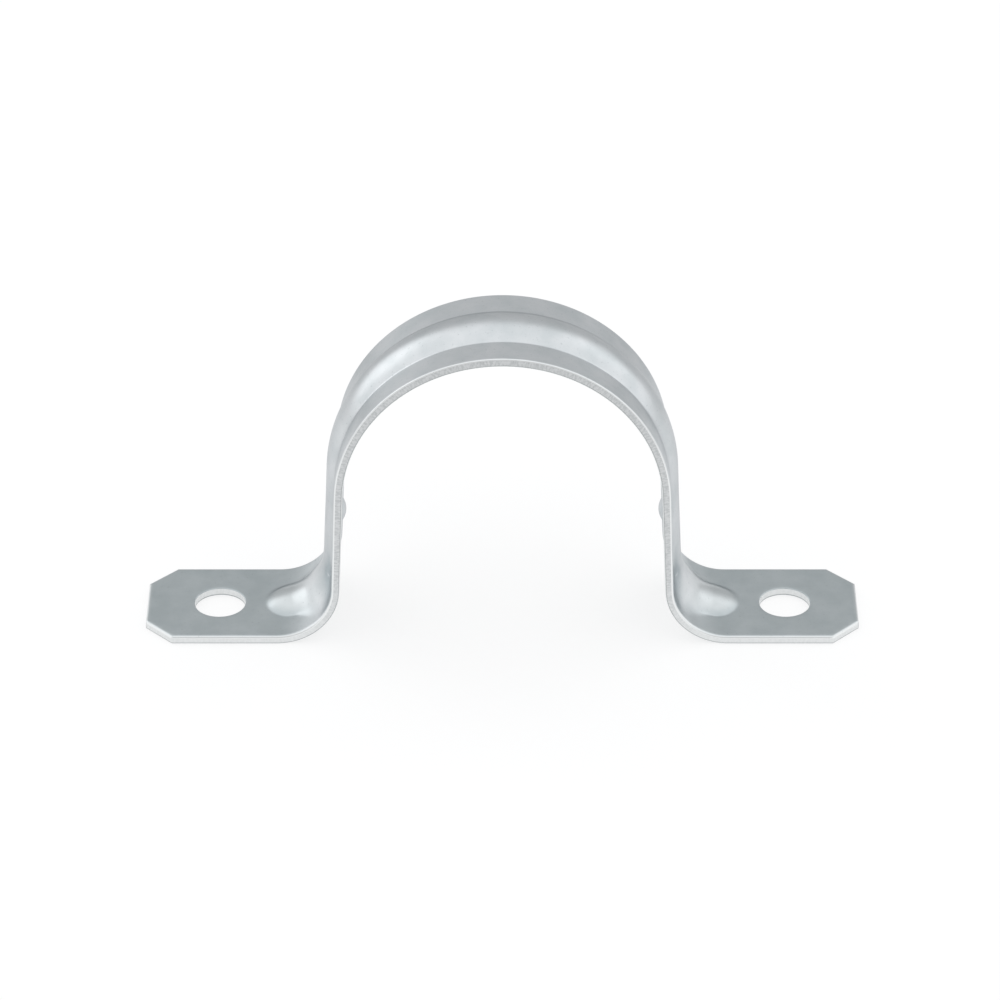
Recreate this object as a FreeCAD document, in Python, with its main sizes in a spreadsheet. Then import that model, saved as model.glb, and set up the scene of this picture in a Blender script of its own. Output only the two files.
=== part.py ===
import FreeCAD, Part
import math
import os
import Sketcher
from enum import IntEnum
from FreeCAD import Vector

# Two-hole conduit strap, pressed from one strip of zinc-plated sheet steel.
#
# Frame: millimetres, +Z up. The origin is the centre of the wall plane that both feet stand on.
# X runs along the strap from foot to foot, and Y runs across it, along the conduit.
#
# The right half is modelled as a thick block whose top is the strap's outer skin. The raised
# bead is added to the block, and everything under the inner skin is then taken away, which
# leaves the sheet. The last feature mirrors the half across the YZ plane.

NODE = "conduit_strap"

# The sizes that the strap is made to, in millimetres and degrees.
SIZES = {
    "strap_width": 19.1,
    "sheet_thickness": 1.3,
    "seat_radius": 24.25,  # inside of the arch, for a conduit 48.3 across
    "seat_height": 25.55,  # centre of the arch above the wall
    "leg_lean": 2.4,  # each leg opens outwards by this angle towards its foot
    "foot_bend_radius": 8.6,  # inside of the bend between leg and foot
    "foot_flat_length": 20.3,  # from the end of that bend to the end of the foot
    "corner_cut": 4.2,  # both legs of the 45 degree cut at each corner
    "hole_diameter": 7.9,
    "hole_edge_distance": 11.25,  # from the end of the foot to the hole's centre
    "bead_width": 8.8,
    "bead_height": 1.35,
    "bead_end_angle": 11.5,  # how far before the end of the bend the bead's end dome starts
    "dimple_diameter": 3.8,
    "dimple_depth": 0.65,
    "dimple_leg_distance": 3.5,  # down the leg from the end of the arch
    "edge_roll": 0.4,  # rounding that the punch leaves on the outer edges
}

# What follows from them.
WORKED_OUT = {
    "outer_radius": "seat_radius + sheet_thickness",
    "inner_bend_radius": "foot_bend_radius + sheet_thickness",
    "bend_centre_reach": "(outer_radius + foot_bend_radius"
    " + (seat_height - inner_bend_radius) * sin(leg_lean)) / cos(leg_lean)",
    "foot_reach": "bend_centre_reach + foot_flat_length",
    "hole_reach": "foot_reach - hole_edge_distance",
    "hole_radius": "hole_diameter / 2",
    "bead_arc_radius": "(bead_width ^ 2 / 4 + bead_height ^ 2) / (2 * bead_height)",
    "bead_arc_drop": "bead_arc_radius - bead_height",
    "groove_arc_radius": "bead_arc_radius - sheet_thickness",
    "bead_arc_height": "seat_height + outer_radius - bead_arc_drop",
    "bead_root": "bead_arc_drop - sheet_thickness / 2",
    "groove_mouth": "bead_arc_drop - 3 * sheet_thickness / 2",
    "nose_path_radius": "foot_bend_radius + bead_arc_drop",
    "nose_reach": "bend_centre_reach - nose_path_radius * sin(bead_end_angle)",
    "nose_level": "inner_bend_radius - nose_path_radius * cos(bead_end_angle)",
    "nose_tilt": "90 - bead_end_angle",
    "nose_turn": "270 - bead_end_angle",
    "nose_base": "bead_arc_drop / 2",
    "block_depth": "2 * bead_arc_radius",
    "block_clearance": "2 * sheet_thickness",
    "clear_depth": "block_depth + block_clearance",
    "clear_foot_length": "foot_flat_length + block_clearance",
    "dimple_offset": "(strap_width + bead_width) / 4",  # the middle of the flat band
    "dimple_arc_radius": "(dimple_diameter ^ 2 / 4 + dimple_depth ^ 2) / (2 * dimple_depth)",
    "dimple_arc_drop": "dimple_arc_radius - dimple_depth",
    "dimple_base": "dimple_arc_drop - sheet_thickness / 2",
    "dimple_tilt": "180 + leg_lean",
    "dimple_reach": "(seat_radius + dimple_arc_drop) * cos(leg_lean)"
    " + dimple_leg_distance * sin(leg_lean)",
    "dimple_level": "seat_height + (seat_radius + dimple_arc_drop) * sin(leg_lean)"
    " - dimple_leg_distance * cos(leg_lean)",
    "dent_arc_radius": "dimple_arc_radius - sheet_thickness",
    "dent_base": "dimple_base / 4",
}

class Point(IntEnum):
    """Which point of a sketch element a constraint takes."""

    START = 1
    END = 2
    CENTRE = 3


class Axis(IntEnum):
    """The axes that every sketch has, as a constraint names them."""

    HORIZONTAL = -1
    VERTICAL = -2


class Heading(IntEnum):
    """Directions round a circle, in degrees from +X."""

    UP = 90
    LEFT = 180
    DOWN = 270


class Turn(IntEnum):
    """How far a dome's section is turned, in degrees."""

    HALF = 180
    FULL = 360


# A sketch's origin is the start of its horizontal axis.
ORIGIN_POINT = (Axis.HORIZONTAL, Point.START)

doc = FreeCAD.newDocument("conduit_strap")


def make_size_sheet():
    """Write the driving sizes and what follows from them into a spreadsheet."""
    sheet = doc.addObject("Spreadsheet::Sheet", "sizes")
    row = 0
    for alias, value in SIZES.items():
        row += 1
        sheet.set(f"A{row}", alias)
        sheet.set(f"B{row}", str(value))
        sheet.setAlias(f"B{row}", alias)
    for alias, formula in WORKED_OUT.items():
        row += 1
        sheet.set(f"A{row}", alias)
        sheet.set(f"B{row}", "=" + formula)
        sheet.setAlias(f"B{row}", alias)
    doc.recompute()
    return sheet


sheet = make_size_sheet()


def size(alias):
    """Read one number from the size sheet."""
    return float(sheet.get(alias))


def bind(feature, prop, alias, unit=""):
    """Bind one property of a feature to a cell of the size sheet."""
    feature.setExpression(prop, f"sizes.{alias}{unit}")


def plane_of(body, role):
    """Find one of the body's own origin planes."""
    return next(item for item in body.Origin.OriginFeatures if item.Role == role)


def new_sketch(body, name, role):
    """Start a sketch on one of the body's origin planes."""
    sketch = body.newObject("Sketcher::SketchObject", name)
    sketch.AttachmentSupport = [(plane_of(body, role), "")]
    sketch.MapMode = "FlatFace"
    return sketch


def join(sketch, *pairs):
    """Make pairs of points coincident, or tangent where the pair says so."""
    for kind, first, second in pairs:
        sketch.addConstraint(Sketcher.Constraint(kind, *first, *second))


def drive(sketch, name, alias, kind, *where):
    """Add a dimension to a sketch and bind it to the size sheet."""
    if kind == "Angle":
        value, unit = math.radians(size(alias)), " * 1 deg"
    else:
        value, unit = size(alias), ""
    index = sketch.addConstraint(Sketcher.Constraint(kind, *where, value))
    sketch.renameConstraint(index, name)
    bind(sketch, "Constraints." + name, alias, unit)


def arc(centre, radius, from_degrees, to_degrees):
    """Make a circular arc that runs anticlockwise between two angles."""
    circle = Part.Circle(centre, Vector(0, 0, 1), radius)
    return Part.ArcOfCircle(circle, math.radians(from_degrees), math.radians(to_degrees))


def on_arc(centre, radius, degrees):
    """Find the point of a circle at an angle."""
    angle = math.radians(degrees)
    return centre + Vector(radius * math.cos(angle), radius * math.sin(angle), 0)


def draw_skin_line(sketch, arch_radius, bend_radius, bend_stop):
    """Draw one skin of the strap's right half from the crown to the foot.

    The skin is the arch (element 0), the straight leg (1) and the foot bend (2), each tangent
    to the next. bend_stop is the heading at which the bend ends, down where the foot is flat.
    """
    lean = size("leg_lean")
    seat = Vector(0, size("seat_height"), 0)
    bend = Vector(size("bend_centre_reach"), size("inner_bend_radius"), 0)
    leg_top = on_arc(seat, size(arch_radius), lean)
    leg_end = on_arc(bend, size(bend_radius), Heading.LEFT + lean)
    sketch.addGeometry(arc(seat, size(arch_radius), lean, Heading.UP))
    sketch.addGeometry(Part.LineSegment(leg_top, leg_end))
    sketch.addGeometry(arc(bend, size(bend_radius), Heading.LEFT + lean, bend_stop))
    join(
        sketch,
        ("PointOnObject", (0, Point.CENTRE), (Axis.VERTICAL,)),
        ("PointOnObject", (0, Point.END), (Axis.VERTICAL,)),
        ("Tangent", (0, Point.START), (1, Point.START)),
        ("Tangent", (1, Point.END), (2, Point.START)),
    )
    drive(sketch, "seat_height", "seat_height", "DistanceY", *ORIGIN_POINT, 0, Point.CENTRE)
    drive(sketch, "arch_radius", arch_radius, "Radius", 0)
    drive(sketch, "bend_radius", bend_radius, "Radius", 2)
    drive(sketch, "bend_height", "inner_bend_radius", "DistanceY", *ORIGIN_POINT, 2, Point.CENTRE)
    drive(sketch, "bend_reach", "bend_centre_reach", "DistanceX", *ORIGIN_POINT, 2, Point.CENTRE)


def draw_region_under_skin(sketch, arch_radius, bend_radius, foot_length, depth):
    """Close a skin line into the region between that skin and a floor below the wall plane."""
    draw_skin_line(sketch, arch_radius, bend_radius, Heading.DOWN)
    bend_end = Vector(size("bend_centre_reach"), size("inner_bend_radius") - size(bend_radius), 0)
    foot_end = bend_end + Vector(size(foot_length), 0, 0)
    floor_end = Vector(foot_end.x, -size(depth), 0)
    floor_start = Vector(0, -size(depth), 0)
    crown = Vector(0, size("seat_height") + size(arch_radius), 0)
    sketch.addGeometry(Part.LineSegment(bend_end, foot_end))
    sketch.addGeometry(Part.LineSegment(foot_end, floor_end))
    sketch.addGeometry(Part.LineSegment(floor_end, floor_start))
    sketch.addGeometry(Part.LineSegment(floor_start, crown))
    join(
        sketch,
        ("Tangent", (2, Point.END), (3, Point.START)),
        ("Coincident", (3, Point.END), (4, Point.START)),
        ("Coincident", (4, Point.END), (5, Point.START)),
        ("Coincident", (5, Point.END), (6, Point.START)),
        ("Coincident", (6, Point.END), (0, Point.END)),
        ("Horizontal", (3,), ()),
        ("Vertical", (4,), ()),
        ("Horizontal", (5,), ()),
        ("Vertical", (6,), ()),
    )
    drive(sketch, "foot_length", foot_length, "DistanceX", 3, Point.START, 3, Point.END)
    drive(sketch, "floor_depth", depth, "DistanceY", 5, Point.END, *ORIGIN_POINT)


def draw_bead_section(sketch, arc_radius, chord_rise):
    """Draw the bead's section at the crown: a circle's top, cut by a chord above its centre."""
    centre = Vector(0, size("bead_arc_height"), 0)
    reach = math.degrees(math.asin(size(chord_rise) / size(arc_radius)))
    right = on_arc(centre, size(arc_radius), reach)
    left = on_arc(centre, size(arc_radius), Heading.LEFT - reach)
    sketch.addGeometry(arc(centre, size(arc_radius), reach, Heading.LEFT - reach))
    sketch.addGeometry(Part.LineSegment(left, right))
    join(
        sketch,
        ("PointOnObject", (0, Point.CENTRE), (Axis.VERTICAL,)),
        ("Coincident", (0, Point.END), (1, Point.START)),
        ("Coincident", (0, Point.START), (1, Point.END)),
        ("Horizontal", (1,), ()),
    )
    drive(sketch, "centre_height", "bead_arc_height", "DistanceY", *ORIGIN_POINT, 0, Point.CENTRE)
    drive(sketch, "arc_radius", arc_radius, "Radius", 0)
    drive(sketch, "chord_rise", chord_rise, "DistanceY", 0, Point.CENTRE, 1, Point.END)


def draw_dome(sketch, reach, level, radius, base, tilt):
    """Draw half the section of a spherical dome, to be turned about the dome's own axis.

    Element 0 is that axis, from the sphere's centre to the dome's top, at tilt degrees from
    +X. base is the distance from the centre to the flat bottom of the dome.
    """
    centre = Vector(size(reach), size(level), 0)
    top = on_arc(centre, size(radius), size(tilt))
    foot = on_arc(centre, size(base), size(tilt))
    rim_angle = size(tilt) - math.degrees(math.acos(size(base) / size(radius)))
    rim = on_arc(centre, size(radius), rim_angle)
    sketch.addGeometry(Part.LineSegment(centre, top), True)
    sketch.addGeometry(arc(centre, size(radius), rim_angle, size(tilt)))
    sketch.addGeometry(Part.LineSegment(foot, rim))
    sketch.addGeometry(Part.LineSegment(foot, top))
    join(
        sketch,
        ("Coincident", (0, Point.START), (1, Point.CENTRE)),
        ("Coincident", (0, Point.END), (1, Point.END)),
        ("Coincident", (2, Point.END), (1, Point.START)),
        ("Coincident", (3, Point.START), (2, Point.START)),
        ("Coincident", (3, Point.END), (1, Point.END)),
        ("PointOnObject", (2, Point.START), (0,)),
        ("Perpendicular", (2,), (0,)),
    )
    drive(sketch, "reach", reach, "DistanceX", *ORIGIN_POINT, 1, Point.CENTRE)
    drive(sketch, "level", level, "DistanceY", *ORIGIN_POINT, 1, Point.CENTRE)
    drive(sketch, "radius", radius, "Radius", 1)
    drive(sketch, "base", base, "Distance", 1, Point.CENTRE, 2, Point.START)
    drive(sketch, "tilt", tilt, "Angle", 0)


def add_block(body):
    """Extrude the region under the outer skin to the strap's width."""
    outline = new_sketch(body, "outer_skin", "XZ_Plane")
    draw_region_under_skin(
        outline, "outer_radius", "foot_bend_radius", "foot_flat_length", "block_depth"
    )
    block = body.newObject("PartDesign::Pad", "block")
    block.Profile = outline
    block.SideType = "Symmetric"
    bind(block, "Length", "strap_width")
    doc.recompute()
    return block


def cut_corners(body, block):
    """Cut the two outer corners of the foot at 45 degrees."""
    cut = body.newObject("PartDesign::Chamfer", "corner_cuts")
    corners = [
        f"Edge{number}"
        for number, edge in enumerate(block.Shape.Edges, 1)
        if is_foot_corner(edge)
    ]
    cut.Base = (block, corners)
    bind(cut, "Size", "corner_cut")
    doc.recompute()
    return cut


def is_foot_corner(edge):
    """Tell whether an edge of the block is an upright corner at the end of the foot."""
    box = edge.BoundBox
    tolerance = 1e-4
    at_foot_end = abs(box.XMin - size("foot_reach")) < tolerance
    return at_foot_end and box.YLength < tolerance


def is_outer_rim(edge):
    """Tell whether an edge of the block runs along the rim of the outer skin."""
    box = edge.BoundBox
    tolerance = 1e-4
    on_skin = box.ZMin > size("sheet_thickness") - tolerance
    across_flat = box.YLength > tolerance and box.XLength < tolerance
    at_foot_end = abs(box.XMin - size("foot_reach")) < tolerance
    return on_skin and (at_foot_end or not across_flat)


def round_outer_rim(body, base):
    """Round the rim that the blanking punch pulled over."""
    rounding = body.newObject("PartDesign::Fillet", "edge_roll")
    rim = [f"Edge{number}" for number, edge in enumerate(base.Shape.Edges, 1) if is_outer_rim(edge)]
    rounding.Base = (base, rim)
    bind(rounding, "Radius", "edge_roll")
    doc.recompute()
    return rounding


def draw_bead_path(body):
    """Draw the line on the outer skin that the bead follows, from the crown to its end dome."""
    path = new_sketch(body, "bead_path", "XZ_Plane")
    stop = Heading.DOWN - size("bead_end_angle")
    draw_skin_line(path, "outer_radius", "foot_bend_radius", stop)
    bend = Vector(size("bend_centre_reach"), size("inner_bend_radius"), 0)
    path.addGeometry(
        Part.LineSegment(bend, on_arc(bend, size("foot_bend_radius"), stop)), True
    )
    join(
        path,
        ("Coincident", (3, Point.START), (2, Point.CENTRE)),
        ("Coincident", (3, Point.END), (2, Point.END)),
    )
    drive(path, "end_turn", "nose_turn", "Angle", 3)
    return path


def sweep_section(body, kind, name, path, arc_radius, chord_rise):
    """Sweep a bead section along the bead's path."""
    section = new_sketch(body, name + "_section", "YZ_Plane")
    draw_bead_section(section, arc_radius, chord_rise)
    sweep = body.newObject("PartDesign::" + kind, name)
    sweep.Profile = section
    sweep.Spine = path
    doc.recompute()
    return sweep


def turn_dome(body, kind, name, place, radius, base, sweep_angle):
    """Turn a spherical dome about its own axis, evenly to both sides of its section."""
    outline = new_sketch(body, name + "_section", "XZ_Plane")
    if place == "dimple":
        bind(outline, "AttachmentOffset.Base.z", "dimple_offset")
    draw_dome(outline, place + "_reach", place + "_level", radius, base, place + "_tilt")
    dome = body.newObject("PartDesign::" + kind, name)
    dome.Profile = outline
    dome.ReferenceAxis = (outline, ["Axis0"])
    dome.Midplane = True
    dome.Angle = sweep_angle
    doc.recompute()
    return dome


def clear_under_sheet(body):
    """Take away everything under the inner skin, which leaves the sheet."""
    outline = new_sketch(body, "inner_skin", "XZ_Plane")
    draw_region_under_skin(
        outline, "seat_radius", "inner_bend_radius", "clear_foot_length", "clear_depth"
    )
    clearing = body.newObject("PartDesign::Pocket", "clearing")
    clearing.Profile = outline
    clearing.SideType = "Symmetric"
    clearing.Type = "ThroughAll"
    doc.recompute()
    return clearing


def punch_hole(body):
    """Punch the fixing hole through the foot."""
    outline = new_sketch(body, "hole_outline", "XY_Plane")
    centre = Vector(size("hole_reach"), 0, 0)
    outline.addGeometry(Part.Circle(centre, Vector(0, 0, 1), size("hole_radius")))
    join(outline, ("PointOnObject", (0, Point.CENTRE), (Axis.HORIZONTAL,)))
    drive(outline, "reach", "hole_reach", "DistanceX", *ORIGIN_POINT, 0, Point.CENTRE)
    drive(outline, "radius", "hole_radius", "Radius", 0)
    hole = body.newObject("PartDesign::Pocket", "fixing_hole")
    hole.Profile = outline
    hole.Type = "ThroughAll"
    hole.Reversed = True
    doc.recompute()
    return hole


def round_hole_rim(body, hole):
    """Round the top rim of the hole, where the punch went in."""
    rounding = body.newObject("PartDesign::Fillet", "hole_roll")
    rim = [f"Edge{number}" for number, edge in enumerate(hole.Shape.Edges, 1) if is_hole_rim(edge)]
    rounding.Base = (hole, rim)
    bind(rounding, "Radius", "edge_roll")
    doc.recompute()
    return rounding


def is_hole_rim(edge):
    """Tell whether an edge is the top rim of the fixing hole."""
    box = edge.BoundBox
    tolerance = 1e-4
    round_hole = abs(box.XLength - size("hole_diameter")) < tolerance
    return round_hole and abs(box.ZMin - size("sheet_thickness")) < tolerance


def mirror(body, name, role, features=None):
    """Mirror some features, or the whole body, across one of the body's origin planes."""
    pattern = body.newObject("PartDesign::Mirrored", name)
    pattern.MirrorPlane = (plane_of(body, role), [""])
    if features:
        pattern.Originals = features
    else:
        pattern.TransformMode = "Whole shape"
    body.Tip = pattern
    doc.recompute()
    return pattern


def check_volume(feature, grows):
    """Stop if a feature did not add to, or did not take from, the shape before it."""
    gain = feature.Shape.Volume - feature.BaseFeature.Shape.Volume
    if (gain > 0) != grows:
        raise RuntimeError(f"{feature.Label} changes the volume by {gain:.4f}")


def build_strap():
    """Build the strap as one body, from the block to the mirrored whole."""
    body = doc.addObject("PartDesign::Body", NODE)
    body.Label = NODE
    block = add_block(body)
    corners = cut_corners(body, block)
    round_outer_rim(body, corners)

    path = draw_bead_path(body)
    bead = sweep_section(body, "AdditivePipe", "bead", path, "bead_arc_radius", "bead_root")
    bead_end = turn_dome(
        body, "Revolution", "bead_end", "nose", "bead_arc_radius", "nose_base", Turn.HALF
    )
    clearing = clear_under_sheet(body)
    groove = sweep_section(
        body, "SubtractivePipe", "groove", path, "groove_arc_radius", "groove_mouth"
    )
    groove_end = turn_dome(
        body, "Groove", "groove_end", "nose", "groove_arc_radius", "nose_base", Turn.HALF
    )

    dimple = turn_dome(
        body, "Revolution", "dimple", "dimple", "dimple_arc_radius", "dimple_base", Turn.FULL
    )
    dent = turn_dome(
        body, "Groove", "dent", "dimple", "dent_arc_radius", "dent_base", Turn.FULL
    )
    mirror(body, "dimple_pair", "XZ_Plane", [dimple, dent])

    hole = punch_hole(body)
    round_hole_rim(body, hole)
    mirror(body, "both_halves", "YZ_Plane")

    for feature in (bead, bead_end, dimple):
        check_volume(feature, grows=True)
    for feature in (corners, clearing, groove, groove_end, dent, hole):
        check_volume(feature, grows=False)
    return body


def check_document():
    """Stop if any object of the document failed to build."""
    for item in doc.Objects:
        if {"Invalid", "Error"} & set(item.State):
            raise RuntimeError(f"{item.Label} did not build: {item.State}")


def export(body):
    """Check the body's shape and write it to its STEP file."""
    shape = body.Shape
    if shape.isNull() or not shape.isValid() or len(shape.Solids) != 1:
        raise RuntimeError(f"{body.Label} is not one valid solid")
    os.makedirs("parts", exist_ok=True)
    shape.exportStep(f"parts/{body.Label}.step")
    box = shape.optimalBoundingBox(True, False)
    print(
        f"{body.Label}: {box.XLength:.2f} x {box.YLength:.2f} x {box.ZLength:.2f} mm,"
        f" {shape.Volume:.1f} cubic mm, {len(shape.Faces)} faces"
    )


strap = build_strap()
doc.recompute()
check_document()
export(strap)
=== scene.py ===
"""A two-hole conduit strap in zinc-plated steel, on a plain pale floor.

The strap is one strip of sheet steel. It is built here as the strip is pressed: a flat outline
with two holes and cut corners, a bead and four snap dimples raised from it, bent round the
conduit and out into two feet. Lengths in the classes are in millimetres, and meshes in metres.
"""

import logging
import math
from dataclasses import dataclass
from enum import Enum, IntEnum

import bpy
import numpy as np
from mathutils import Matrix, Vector
from mathutils.geometry import delaunay_2d_cdt

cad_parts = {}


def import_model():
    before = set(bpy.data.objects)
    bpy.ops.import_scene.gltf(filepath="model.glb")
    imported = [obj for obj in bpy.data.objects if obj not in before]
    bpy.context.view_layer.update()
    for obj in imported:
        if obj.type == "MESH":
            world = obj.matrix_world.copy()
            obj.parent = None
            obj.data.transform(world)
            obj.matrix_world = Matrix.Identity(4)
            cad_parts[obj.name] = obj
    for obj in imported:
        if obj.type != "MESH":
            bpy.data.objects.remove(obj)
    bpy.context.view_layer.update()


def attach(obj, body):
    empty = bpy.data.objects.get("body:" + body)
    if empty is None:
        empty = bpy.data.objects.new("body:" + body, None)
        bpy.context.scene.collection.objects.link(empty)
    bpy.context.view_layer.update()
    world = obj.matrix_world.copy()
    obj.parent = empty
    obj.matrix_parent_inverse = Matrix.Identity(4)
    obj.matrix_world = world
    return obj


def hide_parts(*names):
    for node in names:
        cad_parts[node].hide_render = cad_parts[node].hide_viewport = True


Array = np.ndarray
Span = tuple[float, float]
Tree = bpy.types.NodeTree
Node = bpy.types.Node
Socket = bpy.types.NodeSocket

LOG = logging.getLogger("conduit_strap_scene")
MM = 0.001
NODE = "conduit_strap"
STRIP_FACTS = "strip"
# Share of wear and painted highlight: paler plating along the rolled rims and on the bead's noses.
WEAR_AND_HIGHLIGHT_FACTS = "wear_and_highlight"

# The curve between sRGB codes and linear light.
SRGB_KNEE = 0.04045
SRGB_FOOT = 12.92
SRGB_OFFSET = 0.055
SRGB_POWER = 2.4

# What the meshing needs.
ROW_RATIO = math.sqrt(0.75)  # spacing of the rows of a triangular grid, over its step
ROUNDING = 1e-9  # keeps the last value of a range that ends on a whole step
CDT_GRAIN = 1e-5  # places nearer than this are one to the triangulation
INSIDE_HOLE = 0.999  # share of a hole's radius within which a face counts as in the hole


class Skin(Enum):
    """The two faces of the sheet."""

    OUTER = "outer"
    INNER = "inner"


class Finish(IntEnum):
    """Material slots of the strap's mesh."""

    FACE = 0
    SHEARED = 1


class CdtOutput(IntEnum):
    """What the triangulation gives back."""

    INSIDE_OUTLINE = 1


class MixInput(IntEnum):
    """Inputs of a mix node, which share their names and so go by number."""

    SHARE = 0
    LEVEL_A = 2
    LEVEL_B = 3
    COLOUR_A = 6
    COLOUR_B = 7


class MixOutput(IntEnum):
    """Outputs of a mix node, which share their names too."""

    LEVEL = 0
    COLOUR = 2


def linear_rgba(hex_code: str) -> tuple[float, float, float, float]:
    """Turns an sRGB hex colour into the linear colour that shaders take.

    Args:
        hex_code: six hex digits, with or without a leading "#".

    Returns:
        Linear red, green, blue and an alpha of 1.
    """
    digits = hex_code.lstrip("#")
    channels = [int(digits[i : i + 2], 16) / 255 for i in (0, 2, 4)]
    linear = [
        c / SRGB_FOOT if c <= SRGB_KNEE else ((c + SRGB_OFFSET) / (1 + SRGB_OFFSET)) ** SRGB_POWER
        for c in channels
    ]
    return (*linear, 1.0)


def add_node(tree: Tree, kind: str, settings: dict | None = None, links: dict | None = None) -> Node:
    """Adds one node, sets it up and wires what feeds it.

    Args:
        tree: the node tree that gets the node.
        kind: the node's Blender type name, without the "ShaderNode" that they all start with.
        settings: values by socket name or number, and attributes by name with a leading ".".
        links: output sockets by the name or number of the input that they feed.

    Returns:
        The new node.
    """
    node = tree.nodes.new("ShaderNode" + kind)
    for key, value in (settings or {}).items():
        if isinstance(key, str) and key.startswith("."):
            setattr(node, key[1:], value)
        else:
            node.inputs[key].default_value = value
    for key, output in (links or {}).items():
        tree.links.new(output, node.inputs[key])
    return node


def eased_level(tree: Tree, vector: Socket, axis: str, span: Span, levels: Span) -> Socket:
    """Adds a level that eases from one value to another with the distance from a middle plane.

    Args:
        tree: the node tree.
        vector: places or directions.
        axis: which of their coordinates is the distance, whatever its sign.
        span: the distances between which the level changes.
        levels: the level at each of them.

    Returns:
        The level.
    """
    split = add_node(tree, "SeparateXYZ", {}, {"Vector": vector})
    away = add_node(tree, "Math", {".operation": "ABSOLUTE"}, {0: split.outputs[axis]})
    eased = add_node(
        tree,
        "MapRange",
        {
            ".interpolation_type": "SMOOTHSTEP",
            "From Min": span[0],
            "From Max": span[1],
            "To Min": levels[0],
            "To Max": levels[1],
        },
        {"Value": away.outputs["Value"]},
    )
    return eased.outputs["Result"]


def lay_over(tree: Tree, base: Socket, layers: tuple[tuple[Socket, str], ...]) -> Socket:
    """Lays plain colours over a colour, each by its own share.

    Args:
        tree: the node tree.
        base: the colour at the bottom.
        layers: from the bottom up, the share of each layer and its hex colour.

    Returns:
        The colour that comes out on top.
    """
    shade = base
    for share, hex_code in layers:
        layer = add_node(
            tree,
            "Mix",
            {".data_type": "RGBA", MixInput.COLOUR_B: linear_rgba(hex_code)},
            {MixInput.SHARE: share, MixInput.COLOUR_A: shade},
        )
        shade = layer.outputs[MixOutput.COLOUR]
    return shade


def empty_material(name: str) -> bpy.types.Material:
    """Makes a material whose node tree is still empty.

    Args:
        name: what the material is.

    Returns:
        The new material.
    """
    material = bpy.data.materials.new(name)
    material.use_nodes = True
    material.node_tree.nodes.clear()
    return material


@dataclass(frozen=True)
class StripPath:
    """The line that the outer skin follows, from the crown down to the end of a foot.

    A place on the strip is (along, across): the length along that line from the crown, negative
    on the left, and the distance from the strip's middle line.
    """

    outer_radius: float = 25.55
    centre_height: float = 25.55
    leg_lean: float = 2.4
    sheet: float = 1.3
    bend_radius: float = 8.6
    foot_flat: float = 20.3

    @property
    def sweep(self) -> float:
        """Angle that the arch turns through from crown to leg, and the bend turns back."""
        return math.radians(90 - self.leg_lean)

    @property
    def leg_normal(self) -> Array:
        """Outward direction of a right leg's skin, as (x, z)."""
        return np.array([math.sin(self.sweep), math.cos(self.sweep)])

    @property
    def arch_foot(self) -> Array:
        """Where the right leg leaves the arch, as (x, z)."""
        return np.array([0, self.centre_height]) + self.outer_radius * self.leg_normal

    @property
    def bend_centre(self) -> Array:
        """Centre of the right bend, which lies where the leg's line meets both arcs.

        Returns:
            The centre, as (x, z).
        """
        height = self.bend_radius + self.sheet
        drop = self.arch_foot[1] - (height - self.bend_radius * self.leg_normal[1])
        leg_foot_x = self.arch_foot[0] + drop * math.tan(math.radians(self.leg_lean))
        return np.array([leg_foot_x + self.bend_radius * self.leg_normal[0], height])

    @property
    def leg_foot(self) -> Array:
        """Where the right leg meets the bend, as (x, z)."""
        return self.bend_centre - self.bend_radius * self.leg_normal

    @property
    def arch_end(self) -> float:
        """Length along at the end of the arch."""
        return self.outer_radius * self.sweep

    @property
    def leg_end(self) -> float:
        """Length along at the end of the leg."""
        return self.arch_end + float(np.linalg.norm(self.leg_foot - self.arch_foot))

    @property
    def bend_end(self) -> float:
        """Length along at the end of the bend."""
        return self.leg_end + self.bend_radius * self.sweep

    @property
    def foot_end(self) -> float:
        """Length along at the end of the foot."""
        return self.bend_end + self.foot_flat

    def along_at_reach(self, reach: float) -> float:
        """Length along of a place on the flat foot, from its distance to the middle."""
        return self.bend_end + reach - self.bend_centre[0]

    def place(self, along: Array) -> tuple[Array, Array]:
        """Finds points of the outer skin's line and the way out from them.

        Args:
            along: signed lengths from the crown.

        Returns:
            Points and outward normals, each an array of (x, z) rows.
        """
        side = np.where(along < 0, -1.0, 1.0)
        length = np.abs(along)
        arch_angle = np.minimum(length, self.arch_end) / self.outer_radius
        into_bend = np.clip(length - self.leg_end, 0, self.bend_end - self.leg_end)
        bend_angle = self.sweep - into_bend / self.bend_radius
        angle = np.where(length < self.arch_end, arch_angle, bend_angle)
        normal = np.stack([np.sin(angle), np.cos(angle)], axis=1)
        on_arch = np.array([0, self.centre_height]) + self.outer_radius * normal
        down_leg = (self.leg_foot - self.arch_foot) / (self.leg_end - self.arch_end)
        on_leg = self.arch_foot + np.outer(length - self.arch_end, down_leg)
        on_bend = self.bend_centre - self.bend_radius * normal
        on_foot = on_bend + np.outer(np.maximum(length - self.bend_end, 0), [1.0, 0.0])
        point = np.where(
            (length < self.arch_end)[:, None],
            on_arch,
            np.where((length < self.leg_end)[:, None], on_leg, on_foot),
        )
        mirror = np.stack([side, np.ones_like(side)], axis=1)
        return point * mirror, normal * mirror


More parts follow.
